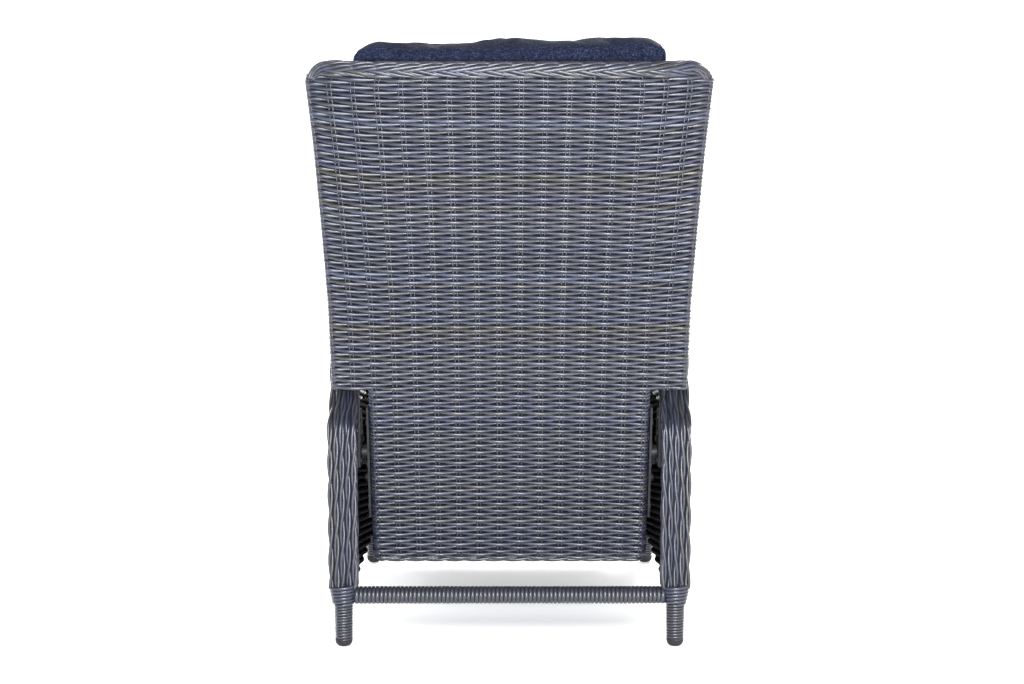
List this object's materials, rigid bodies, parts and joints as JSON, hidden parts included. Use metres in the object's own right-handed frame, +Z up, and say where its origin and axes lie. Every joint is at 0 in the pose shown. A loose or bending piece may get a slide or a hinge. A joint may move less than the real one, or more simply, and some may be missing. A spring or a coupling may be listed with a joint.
{
  "type": "reclining sun lounger",
  "caption": "Grey round-strand wicker reclining garden armchair with a high back, slate cushions, a linked footrest and a lockable gas spring.",
  "frame": {"origin": "centre of the footprint, on the floor, with the back upright", "axes": "+Z up; -Y towards the sitter's feet, so the seat faces -Y; +X to the sitter's left"},
  "size_m": [0.7383, 0.8493, 1.1333],
  "materials": {
    "wicker": "woven round synthetic strand",
    "cushion_fabric": "heathered outdoor cloth",
    "black_steel": "powder coat, satin",
    "zinc_steel": "zinc plated",
    "bright_steel": "hard chrome",
    "black_plastic": "moulded, fine grain"
  },
  "bodies": {
    "frame": {"arm_hinge_plate_left": "black_steel", "arm_hinge_plate_right": "black_steel", "arm_rest_left": "wicker", "arm_rest_right": "wicker", "arm_side_left": "wicker", "arm_side_right": "wicker", "back_pin_left": "zinc_steel", "back_pin_right": "zinc_steel", "footrest_pin_left": "zinc_steel", "footrest_pin_right": "zinc_steel", "front_collar_left": "wicker", "front_collar_right": "wicker", "front_foot_left": "black_plastic", "front_foot_right": "black_plastic", "front_leg_left": "wicker", "front_leg_right": "wicker", "front_post_left": "wicker", "front_post_right": "wicker", "front_stretcher": "wicker", "gas_spring_bracket": "black_steel", "lever_mount": "black_steel", "rear_collar_left": "wicker", "rear_collar_right": "wicker", "rear_foot_left": "black_plastic", "rear_foot_right": "black_plastic", "rear_leg_left": "wicker", "rear_leg_right": "wicker", "rear_post_left": "wicker", "rear_post_right": "wicker", "rear_stretcher": "wicker", "seat_cross_tube": "black_steel", "seat_cushion": "cushion_fabric", "seat_deck": "wicker", "seat_front_tube": "black_steel", "seat_rail_left": "black_steel", "seat_rail_right": "black_steel", "seat_rear_tube": "black_steel", "seat_spring_tube": "black_steel", "side_rail_left": "wicker", "side_rail_right": "wicker"},
    "back": {"back_cushion": "cushion_fabric", "back_hinge_plate_left": "black_steel", "back_hinge_plate_right": "black_steel", "back_lower_panel": "wicker", "back_rim": "wicker", "back_upper_panel": "wicker", "gas_spring_clevis": "black_steel"},
    "footrest": {"footrest_edge": "wicker", "footrest_panel": "wicker", "footrest_tab_left": "black_steel", "footrest_tab_right": "black_steel"},
    "gas_spring_barrel": {"gas_spring_barrel": "black_steel"},
    "gas_spring_ram": {"gas_spring_ram": "bright_steel"},
    "lever": {"lever_knob": "black_plastic", "release_lever": "black_steel"},
    "push_rod_left": {"push_rod_left": "black_steel"},
    "push_rod_right": {"push_rod_right": "black_steel"}
  },
  "joints": [
    {"name": "back_recline", "type": "hinge", "parent": "frame", "child": "back", "pos_m": [0, 0.2, 0.365], "axis": [-1, 0, 0], "range_deg": [0, 45]},
    {"name": "footrest_raise", "type": "hinge", "parent": "frame", "child": "footrest", "pos_m": [0, -0.399, 0.332], "axis": [-1, 0, 0], "range_deg": [0, 75]},
    {"name": "push_rod_left_turn", "type": "hinge", "parent": "back", "child": "push_rod_left", "pos_m": [0.273, 0.21913, 0.31881], "axis": [-1, 0, 0], "range_deg": [-45, 0]},
    {"name": "push_rod_right_turn", "type": "hinge", "parent": "back", "child": "push_rod_right", "pos_m": [-0.273, 0.21913, 0.31881], "axis": [-1, 0, 0], "range_deg": [-45, 0]},
    {"name": "gas_spring_swing", "type": "hinge", "parent": "frame", "child": "gas_spring_barrel", "pos_m": [0, -0.075, 0.308], "axis": [1, 0, 0], "range_deg": [0, 2.77]},
    {"name": "gas_spring_stroke", "type": "slide", "parent": "gas_spring_barrel", "child": "gas_spring_ram", "axis": [0, -0.9998, -0.0178], "range_m": [0, 0.03616]},
    {"name": "release_lever_lift", "type": "hinge", "parent": "frame", "child": "lever", "pos_m": [-0.282, -0.21, 0.52], "axis": [-1, 0, 0], "range_deg": [0, 18], "stiffness_Nm_per_rad": 1.5, "springref_deg": -8.59}
  ],
  "couplings": [
    {"joint": "footrest_raise", "follows": "back_recline", "ratio": 1.6667},
    {"joint": "push_rod_left_turn", "follows": "back_recline", "ratio": -1},
    {"joint": "push_rod_right_turn", "follows": "back_recline", "ratio": -1},
    {"joint": "gas_spring_swing", "follows": "back_recline", "ratio": 0.0613},
    {"joint": "gas_spring_stroke", "follows": "back_recline", "m_per_rad": 0.04603}
  ]
}
